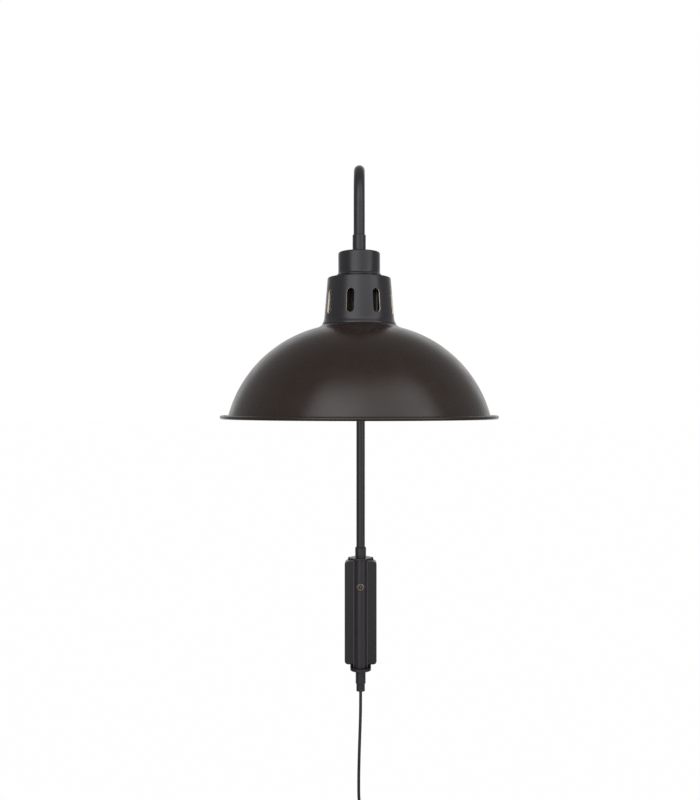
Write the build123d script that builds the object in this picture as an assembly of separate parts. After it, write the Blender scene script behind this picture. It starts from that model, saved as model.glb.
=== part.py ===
"""Plug-in swing-arm wall lamp with a dome shade, in millimetres.

Frame: +Z is up, the wall is the plane y = 0 and the lamp stands out from it towards -Y. The origin
is the middle of the wall plate's back face. The arm swivels about an upright axis at AXIS_Y, and
the shade hangs on a second upright axis at SHADE_Y. Every function returns one named sub-part.
"""
from build123d import *
import math
import os

# --- clearances ---------------------------------------------------------------------------------
RUN_GAP = 0.05            # radial gap of a part that turns on another
PRESS_GAP = 0.02          # radial gap of parts that are pressed or screwed together
END_GAP = 0.1             # end play above the thrust washer
LIFT_GAP = 0.3            # end play below the bottom cup

# --- wall plate ---------------------------------------------------------------------------------
PLATE_W = 37.6
PLATE_H = 154.0
PLATE_T = 3.0
PLATE_CORNER = 2.0
WALL_HOLE_R = 2.25
WALL_HOLE_PITCH = 110.0
EAR_T = 2.0
EAR_H = 20.0
EAR_DEPTH = 12.0

# --- die-cast housing with its round spine --------------------------------------------------------
HOUSING_W = 46.7
HOUSING_H = 150.6
HOUSING_Z = -1.7          # the housing sits this much off the plate's middle
HOUSING_D = 19.0
HOUSING_WALL = 2.5
HOUSING_CORNER = 5.0
HOUSING_EDGE = 0.8
SPINE_WALL = 1.4
SPINE_STANDOFF = 2.0      # the swivel axis lies this far in front of the housing's face
SPINE_TOP_RISE = 4.4
FOOT_W = 2.0              # how far the spine's sloped foot stands out beside it
FOOT_T = 2.0              # depth of the foot behind the housing's face
FOOT_EDGE_T = 1.0         # how far its outer edge stands out of the housing's face
FOOT_SLOPE = 20.0         # degrees
SIDE_SCREW_R = 1.95
SIDE_SCREW_HEAD_R = 3.6
SIDE_SCREW_HEAD_H = 1.8
SIDE_SCREW_L = 8.0

# --- disc, cup, bushes and washer on the spine ----------------------------------------------------
DISC_R = 15.7
DISC_T = 2.0
CUP_R = 15.2
CUP_DEPTH = 7.15
CUP_FRONT_CUT = 3.0       # the rim is this much lower in front of the axis
CUP_FLOOR = 1.8
CUP_WALL = 1.5
CUP_CORNER = 0.8
CUP_GAP = 0.1
BUSH_WALL = 1.3
BUSH_H = 16.0
WASHER_WALL = 1.0
WASHER_T = 2.2

# --- clamp screw and its pad ----------------------------------------------------------------------
CLAMP_Z = 38.4
CLAMP_R = 2.95
CLAMP_HEAD_R = 5.5
CLAMP_HEAD_H = 3.3
CLAMP_HEAD_SIDE = 1.5
CLAMP_HEAD_TOP_R = 4.3
CLAMP_HEAD_GAP = 0.2
HEX_WIDTH = 6.0
HEX_DEPTH = 2.2
HEX_PIN_R = 1.3
HEX_PIN_DROP = 0.5        # the socket's pin ends this far under the head's face
PAD_T = 1.2
PAD_GAP = 0.1

# --- arm ------------------------------------------------------------------------------------------
TUBE_R = 6.25
TUBE_WALL = 1.25
MID_CLEAR = 0.35          # gap between tube and spine between the bushes
ARM_REACH = 320.0
ARM_RISE = 574.35         # height of the arch's centreline over the mount
ARM_DROP = 101.15         # from the arch's centreline down to the shade cap
BEND_R = 45.0
TUBE_STUB = 7.5           # tube that shows below the lower collar
UPPER_COLLAR_WALL = 1.75
UPPER_COLLAR_H = 13.3
UPPER_COLLAR_EDGE = 1.4
LOWER_COLLAR_WALL = 1.05
LOWER_COLLAR_H = 19.5
FRONT_COLLAR_WALL = 1.2
FRONT_COLLAR_H = 19.8
COLLAR_EDGE = 0.9
GRUB_R = 1.5
GRUB_SINK = 0.2
GRUB_HEX = 1.5
GRUB_HEX_DEPTH = 1.0

# --- lampholder, an E27 type ------------------------------------------------------------------------
NIPPLE_BORE_R = 3.5
NIPPLE_UP = 17.0
NUT_WIDTH = 14.0
NUT_H = 3.5
NUT_TO_HOLDER = 2.5
SLEEVE_R = 20.4
SLEEVE_WALL = 1.8
SLEEVE_DROP = 59.5
SPIGOT_H = 11.0
HOLDER_LEDGE = 0.8
HOLDER_WALL = 2.0
HOLDER_TOP_T = 3.0
INSERT_GAP = 0.1
INSERT_H = 14.5
SHELL_BORE_R = 13.3
SHELL_WALL = 0.5
SHELL_H = 32.0
SHELL_LIP = 4.0
SHELL_LIP_T = 1.5
CONTACT_R = 4.0
CONTACT_T = 1.0
CONTACT_STEM_R = 2.0
CONTACT_STEM_H = 3.0
TERMINAL_X = 8.0
TERMINAL_R = 1.75
TERMINAL_L = 8.0
TERMINAL_HEAD_R = 3.2
TERMINAL_HEAD_H = 2.2
CLAMP_RING_H = 6.3
CLAMP_RING_W = 6.4
WIRE_R = 1.0
WIRE_X = 1.1
WIRE_LEAD = 3.0
CABLE_TAIL = 7.0          # cable that hangs inside the holder's cap

# --- shade ------------------------------------------------------------------------------------------
SHEET = 1.2
CAP_CLEAR = 1.05
CAP_H = 28.7
CAP_CORNER = 2.4
CAP_COVE_H = 6.6          # height over the neck at which the cap starts to flare
CAP_FLARE = 1.9
CAP_LIP_LIFT = 2.0        # the lip stands this high over the neck, on the cap's narrower foot
CAP_LIP_EDGE = 0.8
NECK_H = 52.9
NECK_HOLE_CLEAR = 0.6
NECK_TOP_R = 35.3
NECK_SHOULDER = 1.7
NECK_LOW_R = 39.1
NECK_FOOT_R = 41.4
NECK_FOOT_H = 7.4
NECK_FOOT_LIFT = 0.1      # height at which the foot's flare starts, over its flange
SLOT_COUNT = 8
SLOT_FIRST = -59.5        # degrees from the front, positive to the right
SLOT_L = 26.4
SLOT_W = 8.7
SLOT_DROP = 28.5          # from the neck's top down to the slots' middle
CROWN_MARGIN = 0.2        # the dome's flat crown is this much wider than the neck's foot
CROWN_HOLE_R = 30.0
CROWN_RISE = 3.85         # the cove under the neck: its height, and its outer radius
COVE_R = 48.5
DOME_H = 101.0
DOME_ARC_R = 137.3
RIM_R = 155.0
FLANGE_W = 9.4
BEAD_R = 2.1
FLANGE_FALL = 0.9
RIVET_COUNT = 3
RIVET_RING_R = 35.0
RIVET_R = 2.0
RIVET_HEAD_R = 3.4
RIVET_HEAD_H = 1.2

# --- cord, coil and plug ------------------------------------------------------------------------------
CORD_R = 2.2
CORD_BORE_GAP = 0.1
BUSH_STEM_L = 22.0
BUSH_HEAD_H = 3.0
BUSH_HEAD_ROUND = 0.5
COIL_X = -2.4             # the coil's middle, measured from the point where the cord comes out
COIL_DROP = 226.4
COIL_R = 32.0
COIL_PITCH = 5.0          # centre to centre of neighbouring turns, across and between layers
COIL_LAYERS = 4
COIL_TURNS = 11.125
COIL_CLIMB = 0.5          # turns over which the cord reverses and climbs a layer
COIL_START = 45.0         # degrees, seen from the front, from the right and up
GAP_POINTS = 72           # points per turn at which the gap between turns is measured
BEND_SHARE = 0.45         # share of the shorter run that a bend of the cord takes up
COIL_TAIL = 14.0
COIL_LEAD = 17.0          # the cord's last run, in line with the coil's straight end
TIE_ANGLE = 28.0
TIE_W = 8.0
TIE_T = 1.2
TIE_GAP = 0.3
RELIEF_TOP_R = 2.7
RELIEF_LOW_R = 4.8
RELIEF_L = 22.0
PLUG_W = 13.7
PLUG_D = 35.3
PLUG_H = 35.0
PLUG_ROUND = 5.0
PIN_R = 2.0
PIN_L = 19.0
PIN_PITCH = 18.6
PIN_ROOT = 8.0
PIN_ROOT_R = 1.6

# The hanging cord's corners, as steps (x, y, z) from the point where it comes out.
CORD_STEPS = [
    (0.0, 0.0, 0.0),
    (0.0, 0.0, -21.4),
    (-0.5, 0.1, -46.4),
    (-1.5, 0.0, -73.4),
    (-2.3, 0.8, -101.4),
    (-2.9, 2.6, -131.4),
    (-2.6, 6.4, -169.0),
]

# --- places that follow from the sizes ----------------------------------------------------------------
AXIS_Y = -(PLATE_T + HOUSING_D + SPINE_STANDOFF)
SHADE_Y = AXIS_Y - ARM_REACH
TUBE_BORE_R = TUBE_R - TUBE_WALL
BUSH_R = TUBE_R + RUN_GAP + BUSH_WALL
SPINE_R = BUSH_R + SPINE_WALL
SPINE_TOP_Z = HOUSING_Z + HOUSING_H / 2 + SPINE_TOP_RISE
CUP_RIM_Z = HOUSING_Z - HOUSING_H / 2 - CUP_GAP
CUP_LOW_Z = CUP_RIM_Z - CUP_DEPTH
SPINE_LOW_Z = CUP_LOW_Z + CUP_FLOOR
DISC_TOP_Z = SPINE_TOP_Z + DISC_T
UPPER_COLLAR_Z = DISC_TOP_Z + WASHER_T + END_GAP
LOWER_COLLAR_TOP_Z = CUP_LOW_Z - LIFT_GAP
LOWER_COLLAR_Z = LOWER_COLLAR_TOP_Z - LOWER_COLLAR_H
TUBE_LOW_Z = LOWER_COLLAR_Z - TUBE_STUB
EXIT_Z = TUBE_LOW_Z - BUSH_HEAD_H
CAP_TOP_Z = ARM_RISE - ARM_DROP
NECK_TOP_Z = CAP_TOP_Z - CAP_H
CROWN_Z = NECK_TOP_Z - NECK_H
CROWN_R = NECK_FOOT_R + CROWN_MARGIN
COVE_Z = CROWN_Z - CROWN_RISE
FLANGE_Z = CROWN_Z - DOME_H
DOME_R = RIM_R - FLANGE_W
HOLDER_R = SLEEVE_R + HOLDER_LEDGE
SPIGOT_R = HOLDER_R - HOLDER_WALL - PRESS_GAP
CAP_R = HOLDER_R + CAP_CLEAR + SHEET
NIPPLE_R = TUBE_BORE_R - PRESS_GAP
HOLDER_TOP_Z = CAP_TOP_Z - SHEET - NUT_H - NUT_TO_HOLDER
NIPPLE_LOW_Z = HOLDER_TOP_Z - HOLDER_TOP_T
CABLE_END_Z = NIPPLE_LOW_Z - CABLE_TAIL
INSERT_LOW_Z = NECK_TOP_Z - INSERT_H
COIL_Z = EXIT_Z - COIL_DROP
COIL_SPAN = COIL_TURNS / COIL_LAYERS
COIL_BACK_Y = AXIS_Y + COIL_PITCH * (COIL_LAYERS - 1) / 2
COIL_FRONT_Y = COIL_BACK_Y - COIL_PITCH * (COIL_LAYERS - 1)
PLUG_X = COIL_X + COIL_R
PLUG_TOP_Z = COIL_Z - COIL_TAIL - RELIEF_L
PLUG_LOW_Z = PLUG_TOP_Z - PLUG_H
FRONT = (0, -1, 0)


def ring(radius, low, high, bore=0.0, y=AXIS_Y):
    """Upright round bar, hollow where a bore is given, on the axis at depth y."""
    section = Circle(radius)
    if bore > 0:
        section -= Circle(bore)
    return Pos(0, y, low) * extrude(section, high - low)


def turned(outline, y=SHADE_Y):
    """Solid of revolution about the upright axis at depth y, from (radius, height) edges."""
    return Pos(0, y, 0) * revolve(Plane.XZ * make_face(outline), Axis.Z)


def bar_along(origin, direction, radius, length):
    """Round bar from a point along a direction."""
    return extrude(Plane(origin, z_dir=direction) * Circle(radius), length)


def hexagon(origin, direction, width, depth):
    """Hexagonal prism, its width measured across the flats."""
    shape = RegularPolygon(width / 2, 6, major_radius=False)
    return extrude(Plane(origin, z_dir=direction) * shape, depth)


def arm_path(low, end):
    """Centreline of the arm from a height on the rear axis to one on the shade's axis."""
    return FilletPolyline(
        (0, AXIS_Y, low),
        (0, AXIS_Y, ARM_RISE),
        (0, SHADE_Y, ARM_RISE),
        (0, SHADE_Y, end),
        radius=BEND_R,
    )


def swept(path, radius, bore=0.0):
    """Round bar or tube along a path."""
    start = Plane(path @ 0, z_dir=path % 0)
    bar = sweep(start * Circle(radius), path)
    if bore > 0:
        bar -= sweep(start * Circle(bore), path)
    return bar


# --- wall plate and housing ---------------------------------------------------------------------------
def ear_face():
    """Outer face of the plate's ears, just inside the housing's side walls."""
    return HOUSING_W / 2 - HOUSING_WALL - END_GAP


def side_screw_y():
    """Depth of the two screws through the housing's sides."""
    return -PLATE_T - EAR_DEPTH / 2


def wall_plate():
    plate = extrude(Plane.XZ * RectangleRounded(PLATE_W, PLATE_H, PLATE_CORNER), PLATE_T)
    plate += extrude(Plane.XZ * Rectangle(2 * ear_face(), EAR_H), PLATE_T)
    for side in (-1, 1):
        middle = side * (ear_face() - EAR_T / 2)
        plate += Pos(middle, -PLATE_T - EAR_DEPTH / 2, 0) * Box(EAR_T, EAR_DEPTH, EAR_H)
        plate -= bar_along((0, side_screw_y(), 0), (side, 0, 0), SIDE_SCREW_R + PRESS_GAP, HOUSING_W)
        hole_z = side * WALL_HOLE_PITCH / 2
        plate -= bar_along((0, 0, hole_z), FRONT, WALL_HOLE_R, PLATE_T)
    return plate


def screw_cone(side, gap):
    """Flat-headed screw through a side of the housing, grown by a gap for its hole."""
    head_face = HOUSING_W / 2
    neck = head_face - SIDE_SCREW_HEAD_H
    outline = Polyline(
        (0, head_face - SIDE_SCREW_L),
        (SIDE_SCREW_R + gap, head_face - SIDE_SCREW_L),
        (SIDE_SCREW_R + gap, neck),
        (SIDE_SCREW_HEAD_R + gap, head_face),
        (0, head_face),
        close=True,
    )
    screw = revolve(Plane.XZ * make_face(outline), Axis.Z)
    return Pos(0, side_screw_y(), 0) * Rot(0, side * 90, 0) * screw


def housing_screws():
    screws = []
    for side in (-1, 1):
        screw = screw_cone(side, 0)
        face = (side * HOUSING_W / 2, side_screw_y(), 0)
        screws.append(screw - hexagon(face, (-side, 0, 0), SIDE_SCREW_R, SIDE_SCREW_HEAD_H))
    return screws


def spine_foot():
    """Foot on which the spine rises from the housing's face, as long as the spine: its front slopes
    down a little on each side, and a low step leads to the face."""
    face = AXIS_Y + SPINE_STANDOFF
    outer_x = SPINE_R + FOOT_W
    edge = face - FOOT_EDGE_T
    middle = edge - outer_x * math.tan(math.radians(FOOT_SLOPE))
    outline = Polyline(
        (0, middle),
        (-outer_x, edge),
        (-outer_x, face + FOOT_T),
        (outer_x, face + FOOT_T),
        (outer_x, edge),
        close=True,
    )
    return Pos(0, 0, SPINE_LOW_Z) * extrude(make_face(outline), SPINE_TOP_Z - SPINE_LOW_Z)


def housing():
    inner_w = HOUSING_W - 2 * HOUSING_WALL
    inner_h = HOUSING_H - 2 * HOUSING_WALL
    back = Plane((0, -PLATE_T, HOUSING_Z), x_dir=(1, 0, 0), z_dir=FRONT)
    box = extrude(back * RectangleRounded(HOUSING_W, HOUSING_H, HOUSING_CORNER), HOUSING_D)
    box = fillet(box.faces().sort_by(Axis.Y)[0].edges(), HOUSING_EDGE)
    inner_corner = HOUSING_CORNER - HOUSING_WALL
    box -= extrude(back * RectangleRounded(inner_w, inner_h, inner_corner), HOUSING_D - HOUSING_WALL)
    box += ring(SPINE_R, SPINE_LOW_Z, SPINE_TOP_Z) + spine_foot()
    box -= ring(TUBE_R + MID_CLEAR, SPINE_LOW_Z, SPINE_TOP_Z)
    bush_bore = BUSH_R + PRESS_GAP
    box -= ring(bush_bore, SPINE_LOW_Z, bush_ends("lower")[1])
    box -= ring(bush_bore, bush_ends("upper")[0], SPINE_TOP_Z)
    box -= bar_along((0, AXIS_Y, CLAMP_Z), FRONT, CLAMP_R + RUN_GAP, 2 * SPINE_R)
    for side in (-1, 1):
        box -= screw_cone(side, RUN_GAP)
    return box


# --- what turns in the housing ----------------------------------------------------------------------
def bush_ends(which):
    """Lowest and highest point of a bush: its outer end is flush with the disc or the cup."""
    if which == "upper":
        return DISC_TOP_Z - BUSH_H, DISC_TOP_Z
    return CUP_LOW_Z, CUP_LOW_Z + BUSH_H


def bush(which):
    low, high = bush_ends(which)
    return ring(BUSH_R, low, high, TUBE_R + RUN_GAP)


def top_disc():
    return ring(DISC_R, SPINE_TOP_Z, DISC_TOP_Z, BUSH_R + PRESS_GAP)


def bottom_cup():
    """Round dish that the spine's lower end stands in, its wall cut lower in front."""
    hole = BUSH_R + PRESS_GAP
    inner = CUP_R - CUP_WALL
    outer_bend = (CUP_R - CUP_CORNER, CUP_LOW_Z + CUP_CORNER)
    outline = Polyline((hole, CUP_LOW_Z), (outer_bend[0], CUP_LOW_Z))
    outline += CenterArc(outer_bend, CUP_CORNER, -90, 90)
    outline += Polyline(
        (CUP_R, outer_bend[1]),
        (CUP_R, CUP_RIM_Z),
        (inner, CUP_RIM_Z),
        (inner, SPINE_LOW_Z),
        (hole, SPINE_LOW_Z),
        (hole, CUP_LOW_Z),
    )
    front = Pos(0, AXIS_Y - CUP_R, CUP_RIM_Z) * Box(2 * CUP_R, 2 * CUP_R, 2 * CUP_FRONT_CUT)
    return turned(outline, AXIS_Y) - front


def thrust_washer():
    return ring(TUBE_R + RUN_GAP + WASHER_WALL, DISC_TOP_Z, DISC_TOP_Z + WASHER_T, TUBE_R + RUN_GAP)


def pad_face():
    """Depth of the friction pad's inner face, close to the tube."""
    return AXIS_Y - TUBE_R - PAD_GAP


def friction_pad():
    return bar_along((0, pad_face(), CLAMP_Z), FRONT, CLAMP_R, PAD_T)


def clamp_screw():
    """Button-head screw in the spine's crown: a hexagonal socket with a round pin in it."""
    tip = pad_face() - PAD_T - END_GAP
    under_head = AXIS_Y - SPINE_R - CLAMP_HEAD_GAP
    shank = tip - under_head
    outline = Polyline(
        (0, 0),
        (CLAMP_R, 0),
        (CLAMP_R, shank),
        (CLAMP_HEAD_R, shank),
        (CLAMP_HEAD_R, shank + CLAMP_HEAD_SIDE),
    )
    shoulder = (CLAMP_HEAD_R, shank + CLAMP_HEAD_SIDE)
    crown = (CLAMP_HEAD_TOP_R, shank + CLAMP_HEAD_H)
    outline += TangentArc(shoulder, crown, tangent=(0, 1))
    outline += Polyline(crown, (0, shank + CLAMP_HEAD_H), (0, 0))
    screw = revolve(Plane.XZ * make_face(outline), Axis.Z)
    screw = Pos(0, tip, CLAMP_Z) * Rot(90, 0, 0) * screw
    head_face = under_head - CLAMP_HEAD_H
    screw -= hexagon((0, head_face, CLAMP_Z), (0, 1, 0), HEX_WIDTH, HEX_DEPTH)
    pin_top = (0, head_face + HEX_PIN_DROP, CLAMP_Z)
    return screw + bar_along(pin_top, (0, 1, 0), HEX_PIN_R, HEX_DEPTH - HEX_PIN_DROP)


# --- arm ----------------------------------------------------------------------------------------------
def grub_places():
    """Axis depth, height and collar radius of the three set screws at the back of the collars."""
    return [
        (AXIS_Y, UPPER_COLLAR_Z + UPPER_COLLAR_H / 2, TUBE_R + UPPER_COLLAR_WALL),
        (AXIS_Y, LOWER_COLLAR_Z + LOWER_COLLAR_H / 2, TUBE_R + LOWER_COLLAR_WALL),
        (SHADE_Y, CAP_TOP_Z + FRONT_COLLAR_H / 2, TUBE_R + FRONT_COLLAR_WALL),
    ]


def grub_hole(place):
    y, z, radius = place
    return bar_along((0, y, z), (0, 1, 0), GRUB_R + PRESS_GAP, 2 * radius)


def collar_grub_screws():
    screws = []
    for y, z, radius in grub_places():
        face = radius - GRUB_SINK
        screw = bar_along((0, y + TUBE_BORE_R, z), (0, 1, 0), GRUB_R, face - TUBE_BORE_R)
        screws.append(screw - hexagon((0, y + face, z), (0, -1, 0), GRUB_HEX, GRUB_HEX_DEPTH))
    return screws


def arm_tube():
    tube = swept(arm_path(TUBE_LOW_Z, CAP_TOP_Z), TUBE_R, TUBE_BORE_R)
    for place in grub_places():
        tube -= grub_hole(place)
    return tube


def collar(place, wall, low, high, edges_up, edge=COLLAR_EDGE):
    """Sleeve on the tube, with a bevel on its free end and a hole for its set screw."""
    sleeve = ring(TUBE_R + wall, low, high, TUBE_R + PRESS_GAP, place[0])
    end = sleeve.faces().sort_by(Axis.Z)[-1 if edges_up else 0]
    outer_edge = end.edges().sort_by(SortBy.RADIUS)[-1]
    return chamfer(outer_edge, edge) - grub_hole(place)


def upper_collar():
    top = UPPER_COLLAR_Z + UPPER_COLLAR_H
    return collar(grub_places()[0], UPPER_COLLAR_WALL, UPPER_COLLAR_Z, top, True, UPPER_COLLAR_EDGE)


def lower_collar():
    return collar(grub_places()[1], LOWER_COLLAR_WALL, LOWER_COLLAR_Z, LOWER_COLLAR_TOP_Z, False)


def front_collar():
    top = CAP_TOP_Z + FRONT_COLLAR_H
    return collar(grub_places()[2], FRONT_COLLAR_WALL, CAP_TOP_Z, top, True)


# --- shade ----------------------------------------------------------------------------------------------
def shade_cap():
    """Round cap with a rounded top edge, which stands on the neck with a foot under its flared lip."""
    bend = (CAP_R - CAP_CORNER, CAP_TOP_Z - CAP_CORNER)
    cove_z = NECK_TOP_Z + CAP_COVE_H
    lip_low = NECK_TOP_Z + CAP_LIP_LIFT
    lip_z = lip_low + CAP_LIP_EDGE
    lip_r = CAP_R + CAP_FLARE
    inner_r = CAP_R - SHEET
    hole = NIPPLE_R + PRESS_GAP
    outline = Line((hole, CAP_TOP_Z), (bend[0], CAP_TOP_Z))
    outline += CenterArc(bend, CAP_CORNER, 0, 90)
    outline += Line((CAP_R, bend[1]), (CAP_R, cove_z))
    outline += TangentArc((CAP_R, cove_z), (lip_r, lip_z), tangent=(0, -1))
    outline += Polyline(
        (lip_r, lip_z),
        (lip_r, lip_low),
        (CAP_R, lip_low),
        (CAP_R, NECK_TOP_Z),
        (inner_r, NECK_TOP_Z),
        (inner_r, bend[1]),
    )
    outline += CenterArc(bend, CAP_CORNER - SHEET, 0, 90)
    inner_top = CAP_TOP_Z - SHEET
    outline += Polyline((bend[0], inner_top), (hole, inner_top), (hole, CAP_TOP_Z))
    return turned(outline)


def neck_foot_z():
    """Height at which the foot's flare ends, just over the neck's inner flange."""
    return CROWN_Z + SHEET + NECK_FOOT_LIFT


def neck_side(inset):
    """One side of the neck's sheet: top plate, shoulder, cone and the flare of its foot."""
    low_z = CROWN_Z + NECK_FOOT_H
    hole = SLEEVE_R + NECK_HOLE_CLEAR
    top_z = NECK_TOP_Z - inset
    cone_top = (NECK_TOP_R - inset, top_z)
    cone_low = (NECK_LOW_R - inset, low_z)
    foot = (NECK_FOOT_R - inset, neck_foot_z())
    side = FilletPolyline((hole, top_z), cone_top, cone_low, radius=NECK_SHOULDER - inset)
    slope = (cone_low[0] - cone_top[0], cone_low[1] - cone_top[1])
    return side + TangentArc(cone_low, foot, tangent=slope)


def neck_slots():
    """Tools that cut the upright vent slots, evenly spaced round the neck."""
    slot_z = NECK_TOP_Z - SLOT_DROP
    slots = []
    for index in range(SLOT_COUNT):
        angle = math.radians(SLOT_FIRST + index * 360 / SLOT_COUNT)
        outward = (math.sin(angle), -math.cos(angle), 0)
        plane = Plane((0, SHADE_Y, slot_z), x_dir=(0, 0, 1), z_dir=outward)
        slots.append(extrude(plane * SlotOverall(SLOT_L, SLOT_W), 2 * NECK_FOOT_R))
    return slots


def vented_neck():
    hole = SLEEVE_R + NECK_HOLE_CLEAR
    flange_top = CROWN_Z + SHEET
    outline = neck_side(0)
    outline += neck_side(SHEET)
    outline += Line((hole, NECK_TOP_Z), (hole, NECK_TOP_Z - SHEET))
    outline += Polyline(
        (NECK_FOOT_R, neck_foot_z()),
        (NECK_FOOT_R, CROWN_Z),
        (CROWN_HOLE_R, CROWN_Z),
        (CROWN_HOLE_R, flange_top),
        (NECK_FOOT_R - SHEET, flange_top),
        (NECK_FOOT_R - SHEET, neck_foot_z()),
    )
    neck = turned(outline)
    for slot in neck_slots():
        neck -= slot
    return neck - rivet_holes()


def dome_centre():
    """Centre (radius, height) of the dome's arc, worked out from its two ends."""
    start = Vector(COVE_R, COVE_Z)
    end = Vector(DOME_R, FLANGE_Z)
    chord = end - start
    reach = math.sqrt(DOME_ARC_R ** 2 - (chord.length / 2) ** 2)
    inward = Vector(chord.Y, -chord.X).normalized()
    return (start + end) / 2 + inward * reach


def dome_side(inset):
    """One face of the dome's sheet, from the flat crown through the cove to the flange, and its
    two ends."""
    centre = dome_centre()
    radius = DOME_ARC_R - inset
    outward = (Vector(COVE_R, COVE_Z) - centre).normalized()
    cove_end = centre + outward * radius
    crown_end = (CROWN_R - inset / 2, CROWN_Z - inset)
    low_z = FLANGE_Z - inset
    low_end = Vector(centre.X + math.sqrt(radius ** 2 - (low_z - centre.Y) ** 2), low_z)
    crest = centre + ((cove_end + low_end) / 2 - centre).normalized() * radius
    cove = TangentArc((cove_end.X, cove_end.Y), crown_end, tangent=(-outward.Y, outward.X))
    side = ThreePointArc((cove_end.X, cove_end.Y), (crest.X, crest.Y), (low_end.X, low_end.Y))
    return cove + side, crown_end, (low_end.X, low_end.Y)


def dome_shade():
    """Spun dome with a flat crown, a cove, a narrow flange and a rolled rim."""
    outer, outer_crown, outer_low = dome_side(0)
    inner, inner_crown, inner_low = dome_side(SHEET)
    bead = (RIM_R - BEAD_R, FLANGE_Z - BEAD_R)
    flange_end = FLANGE_Z - FLANGE_FALL
    outline = outer + inner
    outline += Polyline(
        outer_low,
        (bead[0], flange_end),
        (bead[0], flange_end - SHEET),
        inner_low,
    )
    outline += Polyline(
        inner_crown,
        (CROWN_HOLE_R, CROWN_Z - SHEET),
        (CROWN_HOLE_R, CROWN_Z),
        outer_crown,
    )
    section = make_face(outline) + Pos(*bead) * Circle(BEAD_R)
    shade = Pos(0, SHADE_Y, 0) * revolve(Plane.XZ * section, Axis.Z)
    return shade - rivet_holes()


def rivet_places():
    """Upright axes of the rivets through the neck's flange and the dome's crown."""
    return PolarLocations(RIVET_RING_R, RIVET_COUNT, start_angle=90)


def rivet_holes():
    hole = Pos(0, 0, -2 * SHEET) * extrude(Circle(RIVET_R + PRESS_GAP), 4 * SHEET)
    return [Pos(0, SHADE_Y, CROWN_Z) * place * hole for place in rivet_places()]


def neck_rivets():
    shank = Pos(0, 0, -SHEET) * extrude(Circle(RIVET_R), 2 * SHEET)
    upper = Pos(0, 0, SHEET) * extrude(Circle(RIVET_HEAD_R), RIVET_HEAD_H)
    lower = Pos(0, 0, -SHEET - RIVET_HEAD_H) * extrude(Circle(RIVET_HEAD_R), RIVET_HEAD_H)
    rivet = shank + upper + lower
    return [Pos(0, SHADE_Y, CROWN_Z) * place * rivet for place in rivet_places()]


# --- lampholder -----------------------------------------------------------------------------------------
def nipple():
    return ring(NIPPLE_R, NIPPLE_LOW_Z, CAP_TOP_Z + NIPPLE_UP, NIPPLE_BORE_R, SHADE_Y)


def cap_nut():
    top = CAP_TOP_Z - SHEET
    nut = hexagon((0, SHADE_Y, top - NUT_H), (0, 0, 1), NUT_WIDTH, NUT_H)
    return nut - ring(NIPPLE_R + PRESS_GAP, top - NUT_H, top, y=SHADE_Y)


def holder_cap():
    cap = ring(HOLDER_R, NECK_TOP_Z, HOLDER_TOP_Z, y=SHADE_Y)
    cap -= ring(HOLDER_R - HOLDER_WALL, NECK_TOP_Z, NIPPLE_LOW_Z, y=SHADE_Y)
    return cap - ring(NIPPLE_R + PRESS_GAP, NIPPLE_LOW_Z, HOLDER_TOP_Z, y=SHADE_Y)


def holder_sleeve():
    low = NECK_TOP_Z - SLEEVE_DROP
    sleeve = ring(SLEEVE_R, low, NECK_TOP_Z, SLEEVE_R - SLEEVE_WALL, SHADE_Y)
    spigot = ring(SPIGOT_R, NECK_TOP_Z, NECK_TOP_Z + SPIGOT_H, SPIGOT_R - SLEEVE_WALL, SHADE_Y)
    return sleeve + spigot


def shade_ring():
    top = NECK_TOP_Z - SHEET
    inner = SLEEVE_R + PRESS_GAP
    return ring(inner + CLAMP_RING_W, top - CLAMP_RING_H, top, inner, SHADE_Y)


def terminal_holes(gap):
    holes = []
    for side in (-1, 1):
        top = (side * TERMINAL_X, SHADE_Y, NECK_TOP_Z)
        holes.append(bar_along(top, (0, 0, -1), TERMINAL_R + gap, TERMINAL_L))
    return holes


def holder_insert():
    insert = ring(SLEEVE_R - SLEEVE_WALL - INSERT_GAP, INSERT_LOW_Z, NECK_TOP_Z, y=SHADE_Y)
    for hole in terminal_holes(PRESS_GAP):
        insert -= hole
    stem = ring(CONTACT_STEM_R + PRESS_GAP, INSERT_LOW_Z, INSERT_LOW_Z + CONTACT_STEM_H, y=SHADE_Y)
    return insert - stem


def screw_shell():
    outer = SHELL_BORE_R + SHELL_WALL
    shell = ring(outer, INSERT_LOW_Z - SHELL_H, INSERT_LOW_Z, SHELL_BORE_R, SHADE_Y)
    lip = ring(outer, INSERT_LOW_Z - SHELL_LIP_T, INSERT_LOW_Z, SHELL_BORE_R - SHELL_LIP, SHADE_Y)
    return shell + lip


def centre_contact():
    face = ring(CONTACT_R, INSERT_LOW_Z - CONTACT_T, INSERT_LOW_Z, y=SHADE_Y)
    return face + ring(CONTACT_STEM_R, INSERT_LOW_Z, INSERT_LOW_Z + CONTACT_STEM_H, y=SHADE_Y)


def terminal_screws():
    screws = []
    for side, shank in zip((-1, 1), terminal_holes(0)):
        top = (side * TERMINAL_X, SHADE_Y, NECK_TOP_Z)
        screws.append(shank + bar_along(top, (0, 0, 1), TERMINAL_HEAD_R, TERMINAL_HEAD_H))
    return screws


def lead_wires():
    """Two bared cores from the cable's end down to the terminal screws."""
    head_z = NECK_TOP_Z + TERMINAL_HEAD_H
    wires = []
    for side in (-1, 1):
        path = FilletPolyline(
            (side * WIRE_X, SHADE_Y, CABLE_END_Z),
            (side * WIRE_X, SHADE_Y, CABLE_END_Z - WIRE_LEAD),
            (side * TERMINAL_X, SHADE_Y, head_z + WIRE_LEAD),
            (side * TERMINAL_X, SHADE_Y, head_z),
            radius=1.5 * WIRE_R,
        )
        wires.append(swept(path, WIRE_R))
    return wires


def inner_cable():
    return swept(arm_path(EXIT_Z, CABLE_END_Z), CORD_R)


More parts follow.
